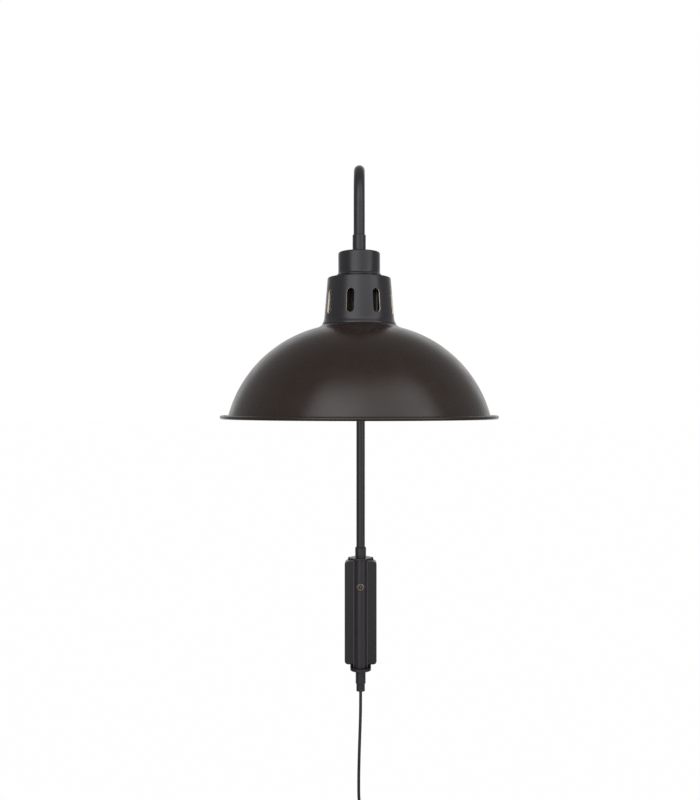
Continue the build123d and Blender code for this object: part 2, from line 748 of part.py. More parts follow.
# --- cord -----------------------------------------------------------------------------------------------
def cord_bush():
    """Bush in the tube's lower end, with a rounded head and a bore for the cord."""
    stem_r = TUBE_BORE_R - PRESS_GAP
    bore = CORD_R + CORD_BORE_GAP
    bush_body = ring(stem_r, TUBE_LOW_Z, TUBE_LOW_Z + BUSH_STEM_L, bore)
    head = ring(TUBE_R, EXIT_Z, TUBE_LOW_Z, bore)
    low_edge = head.faces().sort_by(Axis.Z)[0].edges().sort_by(SortBy.RADIUS)[-1]
    return bush_body + fillet(low_edge, BUSH_HEAD_ROUND)


def coil_radius(turn):
    """Distance from the coil's middle: in and out at a steady rate, eased where the spiral
    reverses."""
    nearest = round(turn / COIL_SPAN)
    offset = turn - nearest * COIL_SPAN
    steps = abs(offset)
    half_climb = COIL_CLIMB / 2
    if 0 < nearest < COIL_LAYERS and steps < half_climb:
        steps = (half_climb ** 2 + offset ** 2) / (2 * half_climb)
    inward = steps if nearest % 2 == 0 else COIL_SPAN - steps
    return COIL_R - COIL_PITCH * inward


def coil_depth(turn):
    """Depth of the coil's centreline: a layer nearer the front after each reversal."""
    climbed = 0.0
    for layer in range(1, COIL_LAYERS):
        share = min(max((turn - layer * COIL_SPAN) / COIL_CLIMB + 0.5, 0.0), 1.0)
        climbed += share * share * (3 - 2 * share)
    return COIL_BACK_Y - COIL_PITCH * climbed


def coil_point(turn):
    angle = math.radians(COIL_START) - 2 * math.pi * turn
    radius = coil_radius(turn)
    return Vector(COIL_X + radius * math.cos(angle), coil_depth(turn), COIL_Z + radius * math.sin(angle))


def coil_tangent(turn):
    step = 0.001
    before = max(turn - step, 0.0)
    after = min(turn + step, COIL_TURNS)
    return (coil_point(after) - coil_point(before)).normalized()


def biarc(start, start_dir, end, end_dir):
    """Two arcs that leave one point and reach another with given directions."""
    chord = end - start
    both = start_dir + end_dir
    along = chord.dot(both)
    spread = 2 * (1 - start_dir.dot(end_dir))
    reach = (-along + math.sqrt(along ** 2 + spread * chord.dot(chord))) / spread
    middle = (start + end + (start_dir - end_dir) * reach) / 2
    first = TangentArc(start, middle, tangent=start_dir)
    return [first, TangentArc(middle, end, tangent=first % 1)]


def flat_tangent(turn):
    """Direction of a coil's end, turned square to its radius so that the straight end is flush."""
    angle = math.radians(COIL_START) - 2 * math.pi * turn
    return Vector(math.sin(angle), 0, -math.cos(angle))


def coil_ends():
    """First and last point of the coil's tube, past its straight ends."""
    start = coil_point(0) - flat_tangent(0) * 2 * CORD_R
    end = coil_point(COIL_TURNS) + flat_tangent(COIL_TURNS) * COIL_TAIL
    return start, end


def coil_path():
    """Unbroken centreline of the coil: a straight end, quarter turns and a straight end."""
    quarters = math.ceil(4 * COIL_TURNS)
    knots = [COIL_TURNS * index / quarters for index in range(quarters + 1)]
    points = [coil_point(knot) for knot in knots]
    tangents = [coil_tangent(knot) for knot in knots]
    tangents[0] = flat_tangent(0)
    tangents[-1] = flat_tangent(COIL_TURNS)
    start, end = coil_ends()
    edges = [Line(start, points[0])]
    for index in range(quarters):
        edges += biarc(points[index], tangents[index], points[index + 1], tangents[index + 1])
    edges.append(Line(points[-1], end))
    return Wire([edge.edge() for edge in edges])


def cord_coil():
    path = coil_path()
    return swept(path, CORD_R), path


def least_self_gap():
    """Smallest gap between parts of the coil's tube that lie over a half turn apart."""
    count = int(COIL_TURNS * GAP_POINTS)
    points = [coil_point(COIL_TURNS * index / count) for index in range(count + 1)]
    apart = GAP_POINTS // 2
    least = min(
        (points[first] - points[second]).length
        for first in range(len(points))
        for second in range(first + apart, len(points))
    )
    return least - 2 * CORD_R


def cord_points():
    """Corners of the hanging cord, from the bush down to the coil's straight end."""
    points = [Vector(step[0], AXIS_Y + step[1], EXIT_Z + step[2]) for step in CORD_STEPS]
    end = coil_ends()[0]
    return points + [end - flat_tangent(0) * COIL_LEAD, end]


def cord_radii(points):
    """Bend radius at each corner, as large as the shorter of its two runs allows."""
    radii = []
    for before, corner, after in zip(points, points[1:], points[2:]):
        arriving = corner - before
        leaving = after - corner
        half_turn = math.radians(arriving.get_angle(leaving)) / 2
        radii.append(BEND_SHARE * min(arriving.length, leaving.length) / math.tan(half_turn))
    return radii


def cord():
    points = cord_points()
    radii = cord_radii(points)
    path = FilletPolyline(*points, radius=radii)
    tube = swept(path, CORD_R)
    print("cord radii", [round(radius, 1) for radius in radii])
    print("cord volume over section times length", tube.volume / (math.pi * CORD_R ** 2 * path.length))
    return tube, path


def coil_tie():
    """Band around all the turns of the coil."""
    inner_r = COIL_R - COIL_PITCH * COIL_SPAN
    across = COIL_R - inner_r + 2 * CORD_R + 2 * TIE_GAP
    deep = COIL_PITCH * (COIL_LAYERS - 1) + 2 * CORD_R + 2 * TIE_GAP
    corner = CORD_R + TIE_GAP
    band = RectangleRounded(across + 2 * TIE_T, deep + 2 * TIE_T, corner + TIE_T)
    band -= RectangleRounded(across, deep, corner)
    angle = math.radians(TIE_ANGLE)
    outward = Vector(math.cos(angle), 0, math.sin(angle))
    around = Vector(math.sin(angle), 0, -math.cos(angle))
    middle = Vector(COIL_X, AXIS_Y, COIL_Z) + outward * (COIL_R + inner_r) / 2
    plane = Plane(middle, x_dir=outward, z_dir=around)
    return extrude(plane * band, TIE_W / 2, both=True)


def plug_body():
    """Flat two-pin plug with a tapered strain relief, hanging from the coil's end."""
    relief_top = PLUG_TOP_Z + RELIEF_L
    relief = loft([
        Pos(PLUG_X, COIL_FRONT_Y, PLUG_TOP_Z) * Circle(RELIEF_LOW_R),
        Pos(PLUG_X, COIL_FRONT_Y, relief_top) * Circle(RELIEF_TOP_R),
    ])
    shape = RectangleRounded(PLUG_W, PLUG_D, PLUG_ROUND)
    body = extrude(Pos(PLUG_X, COIL_FRONT_Y, PLUG_LOW_Z) * shape, PLUG_H)
    body = fillet(body.faces().sort_by(Axis.Z)[-1].edges(), PLUG_ROUND / 2)
    body += relief
    for root in pin_roots(PRESS_GAP):
        body -= root
    return body


def pin_places():
    """Where the plug's two round pins leave its lower face."""
    return [(PLUG_X, COIL_FRONT_Y + side * PIN_PITCH / 2, PLUG_LOW_Z) for side in (-1, 1)]


def pin_roots(gap):
    """The pins' thinner roots inside the plug, grown by a gap for their sockets."""
    return [bar_along(place, (0, 0, 1), PIN_ROOT_R + gap, PIN_ROOT) for place in pin_places()]


def plug_pins():
    pins = []
    for place, root in zip(pin_places(), pin_roots(0)):
        pin = bar_along(place, (0, 0, -1), PIN_R, PIN_L)
        tip = pin.faces().sort_by(Axis.Z)[0]
        pins.append(fillet(tip.edges(), PIN_R / 2) + root)
    return pins


def write(name, shape):
    """Save one sub-part; a list of separate solids becomes one group."""
    solids = []
    for item in shape if isinstance(shape, list) else [shape]:
        solids += item.solids()
    export_step(solids[0] if len(solids) == 1 else Compound(children=solids), f"parts/{name}.step")


def main():
    os.makedirs("parts", exist_ok=True)
    coil, coil_line = cord_coil()
    hanging, hanging_line = cord()
    parts = {
        "wall_plate": wall_plate(),
        "housing": housing(),
        "housing_screws": housing_screws(),
        "top_disc": top_disc(),
        "bottom_cup": bottom_cup(),
        "upper_bush": bush("upper"),
        "lower_bush": bush("lower"),
        "thrust_washer": thrust_washer(),
        "friction_pad": friction_pad(),
        "clamp_screw": clamp_screw(),
        "arm_tube": arm_tube(),
        "upper_collar": upper_collar(),
        "lower_collar": lower_collar(),
        "front_collar": front_collar(),
        "collar_grub_screws": collar_grub_screws(),
        "nipple": nipple(),
        "cap_nut": cap_nut(),
        "shade_cap": shade_cap(),
        "vented_neck": vented_neck(),
        "dome_shade": dome_shade(),
        "neck_rivets": neck_rivets(),
        "holder_cap": holder_cap(),
        "holder_sleeve": holder_sleeve(),
        "holder_insert": holder_insert(),
        "screw_shell": screw_shell(),
        "centre_contact": centre_contact(),
        "terminal_screws": terminal_screws(),
        "shade_ring": shade_ring(),
        "inner_cable": inner_cable(),
        "lead_wires": lead_wires(),
        "cord_bush": cord_bush(),
        "cord": hanging,
        "cord_coil": coil,
        "coil_tie": coil_tie(),
        "plug_body": plug_body(),
        "plug_pins": plug_pins(),
    }
    for name, shape in parts.items():
        write(name, shape)
    print("coil volume over section times length", coil.volume / (math.pi * CORD_R ** 2 * coil_line.length))
    print("least gap between the coil's turns", round(least_self_gap(), 3))
    print("cord length", round(hanging_line.length + coil_line.length, 1))


main()
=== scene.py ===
"""Looks of the swing-arm wall lamp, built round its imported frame. Metres, +Z up, wall at y = 0."""
import math

import bmesh
import bpy
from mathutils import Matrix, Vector

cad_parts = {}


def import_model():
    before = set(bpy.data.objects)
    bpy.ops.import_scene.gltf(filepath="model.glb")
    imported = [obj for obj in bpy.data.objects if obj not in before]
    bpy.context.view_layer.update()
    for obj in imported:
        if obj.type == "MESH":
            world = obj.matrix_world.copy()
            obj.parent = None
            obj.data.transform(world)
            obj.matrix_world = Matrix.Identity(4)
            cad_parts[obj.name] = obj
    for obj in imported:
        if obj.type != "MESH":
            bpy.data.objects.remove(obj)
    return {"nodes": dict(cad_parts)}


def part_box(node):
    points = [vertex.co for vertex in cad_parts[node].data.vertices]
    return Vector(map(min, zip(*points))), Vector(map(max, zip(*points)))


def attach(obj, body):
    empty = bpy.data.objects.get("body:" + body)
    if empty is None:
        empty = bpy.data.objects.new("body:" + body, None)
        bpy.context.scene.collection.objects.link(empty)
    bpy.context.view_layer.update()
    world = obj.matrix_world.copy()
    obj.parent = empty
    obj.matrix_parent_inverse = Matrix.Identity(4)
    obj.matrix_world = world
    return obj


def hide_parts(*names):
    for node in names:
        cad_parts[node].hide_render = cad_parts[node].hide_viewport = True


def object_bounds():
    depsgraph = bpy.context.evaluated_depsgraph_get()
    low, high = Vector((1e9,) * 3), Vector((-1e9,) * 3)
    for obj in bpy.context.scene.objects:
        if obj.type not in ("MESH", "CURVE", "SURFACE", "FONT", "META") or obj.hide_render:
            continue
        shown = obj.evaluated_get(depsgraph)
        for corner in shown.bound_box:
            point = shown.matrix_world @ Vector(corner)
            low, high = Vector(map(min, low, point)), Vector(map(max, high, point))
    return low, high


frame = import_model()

cad_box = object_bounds()
NODES = frame["nodes"]

# --- places read from the frame -------------------------------------------------------------------
BUSH_LOW, BUSH_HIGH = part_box("cord_bush")
DOME_LOW, DOME_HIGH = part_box("dome_shade")
PLUG_LOW, PLUG_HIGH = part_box("plug_body")
NECK_LOW, NECK_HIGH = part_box("vented_neck")
CLAMP_LOW, CLAMP_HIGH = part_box("clamp_screw")
AXIS_Y = (BUSH_LOW.y + BUSH_HIGH.y) / 2
SHADE_Y = (DOME_LOW.y + DOME_HIGH.y) / 2
EXIT = Vector((0, AXIS_Y, BUSH_LOW.z))

# --- camera of the photograph ---------------------------------------------------------------------
PHOTO_H = 800
FOCAL_PX = 950
CAMERA_PLACE = (0.007, -1.409, 0.302)
CAMERA_YAW = math.radians(0.93)
HORIZON_PX = 405
SENSOR = 36.0

# --- studio's levels ------------------------------------------------------------------------------
FRONT_GLOW = 0.42
LOW_GLOW = 0.25
ZENITH_GLOW = 0.72
FLOOR_GLOW = 0.975
FLOOR_SIZE = 60.0
FLOOR_DROP = 0.25
FLOOR_GREY = 0.9
# Directions over which the room's light changes, as parts of a unit vector.
BEHIND_FROM, BEHIND_TO = 0.64, 0.86
LOW_FROM, LOW_TO = -0.3, 0.2
ZENITH_FROM, ZENITH_TO = 0.25, 0.95
# Each soft light in the studio: its glow, and where it rises and falls again, in degrees of azimuth
# (from the front to the right) and of elevation.
SOFT_LIGHTS = [
    (1.08, (-52, -42, 68, 78), (-28, 10, 48, 70)),
    (1.5, (-50, -40, -20, 14), (-28, 10, 36, 62)),
    (1.0, (36, 56, 68, 78), (-28, 10, 36, 62)),
    (0.42, (-34, -8, 40, 60), (14, 26, 48, 70)),
]

# --- cord, with its coil and strap ----------------------------------------------------------------
CORD_R = 0.0022
# Control points of the hanging run, from the end of the tube.
CORD_STEPS = [
    (0.0, 0.0, 0.0),
    (0.0, 0.0, -0.0214),
    (-0.0005, 0.0001, -0.0464),
    (-0.0015, 0.0, -0.0734),
    (-0.0023, 0.0008, -0.1014),
    (-0.0029, 0.0026, -0.1314),
    (-0.0026, 0.0064, -0.1690),
]
COIL_R = 0.032
COIL_PITCH = 0.005
COIL_LAYERS = 4
COIL_TURNS = 11.125
COIL_SPAN = COIL_TURNS / COIL_LAYERS
COIL_CLIMB = 0.5  # turns over which the cord reverses and climbs a layer
COIL_START = math.radians(45)
COIL_MIDDLE = Vector((-0.0024, AXIS_Y, EXIT.z - 0.2264))
COIL_TAIL = 0.014
COIL_LEAD = 0.017
POINTS_PER_TURN = 16
TIE_ANGLE = math.radians(28)
TIE_GAP = 0.0003
TIE_T = 0.0011
TIE_HALF_W = 0.004

# --- finishes, as linear colours ------------------------------------------------------------------
CHARCOAL = (0.0148, 0.0130, 0.0162)
WARM_BLACK = (0.0175, 0.0105, 0.0078)
CREAM = (0.80, 0.69, 0.58)
JET = (0.0100, 0.0098, 0.0100)
BROWN_BLACK = (0.016, 0.013, 0.011)
BRONZE = (0.125, 0.102, 0.091)
# Painted shade in the clamp screw's socket.
SOCKET_SHADE = (0.012, 0.010, 0.010)
# Painted highlight for the housing's spine foot, and painted shade for its flat faces.
FOOT_HIGHLIGHT_COAT = (0.0360, 0.0325, 0.0365)
FACE_SHADE_COAT = (0.0085, 0.0075, 0.0090)
BRASS = (0.78, 0.60, 0.30)
NICKEL = (0.75, 0.73, 0.68)
COPPER = (0.72, 0.38, 0.24)
CERAMIC = (0.82, 0.79, 0.72)
DARK_STEEL = (0.09, 0.09, 0.09)
ALUMINIUM = (0.7, 0.7, 0.7)
STRAP_BLACK = (0.016, 0.016, 0.017)

# --- gloss and grain ------------------------------------------------------------------------------
COAT_ROUGHNESS = 0.33
COAT_GRAIN = 1500
COAT_GRAIN_H = 0.00002
NECK_GRAIN = 900
NECK_GRAIN_H = 0.00001
PAINT_SPECULAR = 0.36
BROAD_GRAIN = 12  # how much coarser the mottle is than the grain
GLOSSIER, ROUGHER = 0.04, 0.05
GRAIN_STRENGTH = 0.5

# --- where a finish changes within a piece, and where highlight and shade are painted -------------
FOOT_IN = 0.0088  # the sloped foot beside the spine, from the body's middle; its paler band is a painted highlight
FOOT_OUT = 0.0110
FOOT_FADE = 0.0005
# Painted shade on the housing's flat faces begins just past the foot.
FACE_FADE = 0.0003
CREAM_DROP = 0.004  # the cream starts this far below the neck's top
BACK_SHADE_Y = SHADE_Y + 0.0235  # the neck's inside has painted shade, charcoal instead of cream, behind this
BACK_SHADE_FADE = 0.001
PIN_R = 0.0013  # the clamp screw's pin and the socket round it, darkened by painted shade
SOCKET_R = 0.0029
SOCKET_FADE = 0.0003


# --- materials ------------------------------------------------------------------------------------
def material(name, roughness, metallic=0.0, specular=0.5, coat=0.0):
    """New node material, with its nodes, its links and its shader."""
    made = bpy.data.materials.new(name)
    made.use_nodes = True
    nodes, links = made.node_tree.nodes, made.node_tree.links
    shader = nodes["Principled BSDF"]
    shader.inputs["Roughness"].default_value = roughness
    shader.inputs["Metallic"].default_value = metallic
    shader.inputs["Specular IOR Level"].default_value = specular
    shader.inputs["Coat Weight"].default_value = coat
    return made, nodes, links, shader


def noise(nodes, links, scale, detail=3.0):
    """Noise over the object's own coordinates, in features per metre."""
    place = nodes.new("ShaderNodeTexCoord")
    texture = nodes.new("ShaderNodeTexNoise")
    texture.inputs["Scale"].default_value = scale
    texture.inputs["Detail"].default_value = detail
    links.new(place.outputs["Object"], texture.inputs["Vector"])
    return texture.outputs["Fac"]


def spread(nodes, links, value, low, high):
    """The noise's middle range mapped to low ... high."""
    node = nodes.new("ShaderNodeMapRange")
    node.inputs["From Min"].default_value = 0.3
    node.inputs["From Max"].default_value = 0.7
    node.inputs["To Min"].default_value = low
    node.inputs["To Max"].default_value = high
    links.new(value, node.inputs["Value"])
    return node.outputs["Result"]


def tint(nodes, links, colour, amount, value):
    """Colour that varies a little, lighter and darker, with a noise value."""
    node = nodes.new("ShaderNodeMix")
    node.data_type = "RGBA"
    node.inputs["A"].default_value = (*[c * (1 - amount) for c in colour], 1)
    node.inputs["B"].default_value = (*[c * (1 + amount) for c in colour], 1)
    links.new(value, node.inputs["Factor"])
    return node.outputs["Result"]


def blend(nodes, links, share, first, second):
    """Two colours mixed: all the first at share 0, all the second (or a fixed colour) at 1."""
    node = nodes.new("ShaderNodeMix")
    node.data_type = "RGBA"
    links.new(share, node.inputs["Factor"])
    links.new(first, node.inputs["A"])
    if isinstance(second, tuple):
        node.inputs["B"].default_value = (*second, 1)
    else:
        links.new(second, node.inputs["B"])
    return node.outputs["Result"]


def bump(nodes, links, shader, value, strength, height):
    """Fine relief of a surface, from a value and a height in metres."""
    node = nodes.new("ShaderNodeBump")
    node.inputs["Strength"].default_value = strength
    node.inputs["Distance"].default_value = height
    links.new(value, node.inputs["Height"])
    links.new(node.outputs["Normal"], shader.inputs["Normal"])


def combine(nodes, links, operation, *values):
    """Some values added, multiplied or otherwise joined, from the first to the last."""
    found = values[0]
    for value in values[1:]:
        node = nodes.new("ShaderNodeMath")
        node.operation = operation
        links.new(found, node.inputs[0])
        links.new(value, node.inputs[1])
        found = node.outputs["Value"]
    return found


def compare(nodes, links, value, limit):
    """1 where a value is below a limit, else 0."""
    node = nodes.new("ShaderNodeMath")
    node.operation = "LESS_THAN"
    node.inputs[1].default_value = limit
    links.new(value, node.inputs[0])
    return node.outputs["Value"]


def ramp(nodes, links, value, start, end, low, high):
    """Smooth step of a value: low up to start, high from end."""
    node = nodes.new("ShaderNodeMapRange")
    node.interpolation_type = "SMOOTHSTEP"
    node.inputs["From Min"].default_value = start
    node.inputs["From Max"].default_value = end
    node.inputs["To Min"].default_value = low
    node.inputs["To Max"].default_value = high
    links.new(value, node.inputs["Value"])
    return node.outputs["Result"]


def window(nodes, links, value, edges, glow=1.0):
    """A glow that a value switches on between the first two edges and off between the last two."""
    rise = ramp(nodes, links, value, edges[0], edges[1], 0.0, glow)
    fall = ramp(nodes, links, value, edges[2], edges[3], 1.0, 0.0)
    return combine(nodes, links, "MULTIPLY", rise, fall)


def vector_math(nodes, links, operation, first, second=None):
    """One step of vector arithmetic, with a fixed second value where it has one."""
    node = nodes.new("ShaderNodeVectorMath")
    node.operation = operation
    links.new(first, node.inputs[0])
    if second is not None:
        node.inputs[1].default_value = second
    return node


def distance(nodes, links, centre, axes):
    """Distance from a point, counted along some axes only."""
    place = nodes.new("ShaderNodeTexCoord")
    away = vector_math(nodes, links, "SUBTRACT", place.outputs["Object"], centre)
    flat = vector_math(nodes, links, "MULTIPLY", away.outputs["Vector"], axes)
    return vector_math(nodes, links, "LENGTH", flat.outputs["Vector"]).outputs["Value"]


def finish(
    name, colour, roughness, grain, grain_height, mottle=0.1,
    metallic=0.0, specular=0.5, coat=0.0,
):
    """Surface with a mottled colour, uneven gloss and a fine grain."""
    made, nodes, links, shader = material(name, roughness, metallic, specular, coat)
    broad = noise(nodes, links, grain / BROAD_GRAIN)
    fine = noise(nodes, links, grain)
    links.new(tint(nodes, links, colour, mottle, broad), shader.inputs["Base Color"])
    uneven = spread(nodes, links, broad, roughness - GLOSSIER, roughness + ROUGHER)
    links.new(uneven, shader.inputs["Roughness"])
    bump(nodes, links, shader, fine, GRAIN_STRENGTH, grain_height)
    return made


def powder_coat():
    return finish(
        "powder_coat", CHARCOAL, COAT_ROUGHNESS, COAT_GRAIN, COAT_GRAIN_H, specular=PAINT_SPECULAR
    )


def housing_coat():
    """Powder coat with painted light: a painted highlight along the spine's sloped foot, and painted
    shade on the flat faces.
    """
    made, nodes, links, shader = material("housing_coat", COAT_ROUGHNESS, specular=PAINT_SPECULAR)
    broad = noise(nodes, links, COAT_GRAIN / BROAD_GRAIN)
    fine = noise(nodes, links, COAT_GRAIN)
    reach = distance(nodes, links, (0, 0, 0), (1, 0, 0))
    colour = tint(nodes, links, CHARCOAL, 0.1, broad)
    foot = (FOOT_IN, FOOT_IN + FOOT_FADE, FOOT_OUT - FOOT_FADE, FOOT_OUT)
    # Paler band on the spine's sloped foot: painted highlight. Darker faces beyond it: painted
    # shade.
    foot_highlight = window(nodes, links, reach, foot)
    face_shade = ramp(nodes, links, reach, FOOT_OUT - FACE_FADE, FOOT_OUT + FACE_FADE, 0.0, 1.0)
    for shade, share in ((FOOT_HIGHLIGHT_COAT, foot_highlight), (FACE_SHADE_COAT, face_shade)):
        colour = blend(nodes, links, share, colour, tint(nodes, links, shade, 0.1, broad))
    links.new(colour, shader.inputs["Base Color"])
    uneven = spread(nodes, links, broad, COAT_ROUGHNESS - GLOSSIER, COAT_ROUGHNESS + ROUGHER)
    links.new(uneven, shader.inputs["Roughness"])
    bump(nodes, links, shader, fine, GRAIN_STRENGTH, COAT_GRAIN_H)
    return made


def shade_lacquer():
    return finish("shade_lacquer", CHARCOAL, 0.28, 900, 0.00001, 0.06, specular=PAINT_SPECULAR)


def dome_lacquer():
    return finish("dome_lacquer", WARM_BLACK, 0.26, 700, 0.000004, 0.05, specular=PAINT_SPECULAR)


def inside_lacquer():
    return finish("inside_lacquer", CREAM, 0.55, 900, 0.00004, 0.04, specular=0.4)


def cord_sheath():
    return finish("cord_sheath", JET, 0.42, 2500, 0.00004, 0.15, specular=0.45)


def nylon():
    return finish("nylon", JET, 0.5, 1800, 0.00004, 0.15)


def bakelite():
    return finish("bakelite", BROWN_BLACK, 0.5, 500, 0.00003, 0.3, specular=0.3)


def ceramic():
    return finish("ceramic", CERAMIC, 0.22, 350, 0.00003, 0.05, coat=0.5)


def worn_metal(name, colour, roughness):
    return finish(name, colour, roughness, 1400, 0.00002, 0.14, metallic=1.0)


def bronze_screw():
    """Bronze-plated head, with painted shade darkening the socket round its pin."""
    made, nodes, links, shader = material("bronze_screw", 0.38, metallic=0.55)
    fine = noise(nodes, links, 1600)
    middle = (CLAMP_LOW + CLAMP_HIGH) / 2
    reach = distance(nodes, links, middle, (1, 0, 1))
    socket = (PIN_R, PIN_R + SOCKET_FADE, SOCKET_R, SOCKET_R + SOCKET_FADE)
    colour = tint(nodes, links, BRONZE, 0.2, fine)
    # The socket round the pin is darkened: painted shade.
    colour = blend(nodes, links, window(nodes, links, reach, socket), colour, SOCKET_SHADE)
    links.new(colour, shader.inputs["Base Color"])
    bump(nodes, links, shader, fine, GRAIN_STRENGTH, 0.00003)
    return made


def strap_weave():
    """Hook-and-loop tape: a fine woven rib across the band."""
    made, nodes, links, shader = material("strap_weave", 0.85, specular=0.2)
    place = nodes.new("ShaderNodeTexCoord")
    wave = nodes.new("ShaderNodeTexWave")
    wave.inputs["Scale"].default_value = 700
    wave.inputs["Distortion"].default_value = 1.5
    wave.inputs["Detail"].default_value = 2
    links.new(place.outputs["Object"], wave.inputs["Vector"])
    fuzz = noise(nodes, links, 3000)
    links.new(tint(nodes, links, STRAP_BLACK, 0.4, fuzz), shader.inputs["Base Color"])
    bump(nodes, links, shader, wave.outputs["Fac"], 0.7, 0.0002)
    shader.inputs["Sheen Weight"].default_value = 0.4
    return made


def neck_lacquer():
    """Charcoal outside, cream inside and on the slots' cut edges: the way each surface points about
    the shade's axis decides, below the neck's top. At the back, the inside stays charcoal
    as painted shade."""
    made, nodes, links, shader = material("neck_lacquer", 0.28, specular=PAINT_SPECULAR)
    place = nodes.new("ShaderNodeTexCoord")
    outward = vector_math(nodes, links, "SUBTRACT", place.outputs["Object"], (0, SHADE_Y, 0))
    flat = vector_math(nodes, links, "MULTIPLY", outward.outputs["Vector"], (1, 1, 0))
    unit = vector_math(nodes, links, "NORMALIZE", flat.outputs["Vector"])
    facing = vector_math(nodes, links, "DOT_PRODUCT", unit.outputs["Vector"])
    links.new(place.outputs["Normal"], facing.inputs[1])
    turned = compare(nodes, links, facing.outputs["Value"], 0.3)
    axes = nodes.new("ShaderNodeSeparateXYZ")
    links.new(place.outputs["Object"], axes.inputs["Vector"])
    below = compare(nodes, links, axes.outputs["Z"], NECK_HIGH.z - CREAM_DROP)
    inward = compare(nodes, links, facing.outputs["Value"], -0.7)
    # The inside at the back stays charcoal: painted shade, not a bare finish.
    back = ramp(nodes, links, axes.outputs["Y"], BACK_SHADE_Y - BACK_SHADE_FADE, BACK_SHADE_Y + BACK_SHADE_FADE, 0.0, 1.0)
    back_shade = combine(nodes, links, "MULTIPLY", inward, back)
    painted = ramp(nodes, links, back_shade, 0.0, 1.0, 1.0, 0.0)
    inside = combine(nodes, links, "MULTIPLY", turned, below, painted)
    broad = noise(nodes, links, NECK_GRAIN / BROAD_GRAIN)
    fine = noise(nodes, links, NECK_GRAIN)
    colour = blend(nodes, links, inside, tint(nodes, links, CHARCOAL, 0.06, broad), CREAM)
    links.new(colour, shader.inputs["Base Color"])
    links.new(spread(nodes, links, broad, 0.25, 0.32), shader.inputs["Roughness"])
    bump(nodes, links, shader, fine, GRAIN_STRENGTH, NECK_GRAIN_H)
    return made


# --- meshes ---------------------------------------------------------------------------------------
def new_piece(name, vertices, faces, materials, face_slots=None, body="arm"):
    """Smooth-shaded mesh that rides a body, with its faces turned outwards."""
    mesh = bpy.data.meshes.new(name)
    mesh.from_pydata([tuple(v) for v in vertices], [], faces)
    piece = bpy.data.objects.new(name, mesh)
    bpy.context.scene.collection.objects.link(piece)
    for item in materials:
        mesh.materials.append(item)
    if face_slots:
        mesh.polygons.foreach_set("material_index", face_slots)
    tidy = bmesh.new()
    tidy.from_mesh(mesh)
    bmesh.ops.recalc_face_normals(tidy, faces=tidy.faces)
    tidy.to_mesh(mesh)
    tidy.free()
    mesh.shade_smooth()
    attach(piece, body)
    return piece


def lathe(name, section, axis_y, materials, section_slots, steps, body="arm"):
    """Closed (radius, height) section turned about the upright axis at depth axis_y."""
    count = len(section)
    vertices = []
    for step in range(steps):
        angle = 2 * math.pi * step / steps
        for radius, height in section:
            vertices.append((radius * math.sin(angle), axis_y - radius * math.cos(angle), height))
    faces, slots = [], []
    for step in range(steps):
        here, there = step * count, (step + 1) % steps * count
        for index in range(count):
            after = (index + 1) % count
            faces.append((here + index, here + after, there + after, there + index))
            slots.append(section_slots[index])
    return new_piece(name, vertices, faces, materials, slots, body)


def crease(piece, angle=35.0):
    """Smooth shading with sharp creases, kept in the mesh."""
    piece.data.set_sharp_from_angle(angle=math.radians(angle))
    return piece


def edge_round(piece, width, angle=40.0, segments=2):
    """Small machined edge on a piece, so that its edges catch the light."""
    bevel = piece.modifiers.new("edge", "BEVEL")
    bevel.width = width
    bevel.segments = segments
    bevel.limit_method = "ANGLE"
    bevel.angle_limit = math.radians(angle)
    bevel.harden_normals = True
    return piece


def arc(centre, radius, start, end, steps):
    """Points on an arc in the (radius, height) plane, angles in degrees."""
    points = []
    for step in range(steps + 1):
        angle = math.radians(start + (end - start) * step / steps)
        reach, rise = radius * math.cos(angle), radius * math.sin(angle)
        points.append(Vector((centre[0] + reach, centre[1] + rise)))
    return points


def offset_line(points, distance):
    """The same line moved to its left by a distance."""
    moved = []
    for index, point in enumerate(points):
        before = points[max(index - 1, 0)]
        after = points[min(index + 1, len(points) - 1)]
        along = (after - before).normalized()
        moved.append(point + Vector((-along.y, along.x)) * distance)
    return moved


# --- dome -----------------------------------------------------------------------------------------
SHEET = 0.0012
CROWN_HOLE_R = 0.030
CROWN_R = 0.0416
COVE_R = 0.0485
CROWN_RISE = 0.00385
FLANGE_W = 0.0094
DOME_ARC_R = 0.1373
BEAD_R = 0.0021
ROLL_SHEET = 0.0009
FLANGE_FALL = 0.0009
CROWN_LEDGE = 0.0015
ROLL_LEAD = 0.0022
ROLL_START, ROLL_END = 135, -190
COVE_POINTS, SIDE_POINTS, ROLL_POINTS = 8, 56, 40
DOME_STEPS = 256


def arc_centre(start, end, radius):
    """Centre of the arc between two points that bulges away from the axis."""
    chord = end - start
    reach = math.sqrt(radius ** 2 - (chord.length / 2) ** 2)
    return (start + end) / 2 + Vector((chord.y, -chord.x)).normalized() * reach


def bearings(centre, *points):
    """Directions of some points from a centre, in degrees."""
    return [math.degrees(math.atan2(p.y - centre.y, p.x - centre.x)) for p in points]


def cove(start, end, normal, steps):
    """Points on the arc that leaves start square to a normal and reaches end."""
    chord = start - end
    radius = chord.length_squared / (2 * chord.dot(normal))
    centre = end + normal * radius
    return arc(centre, abs(radius), *bearings(centre, start, end), steps)


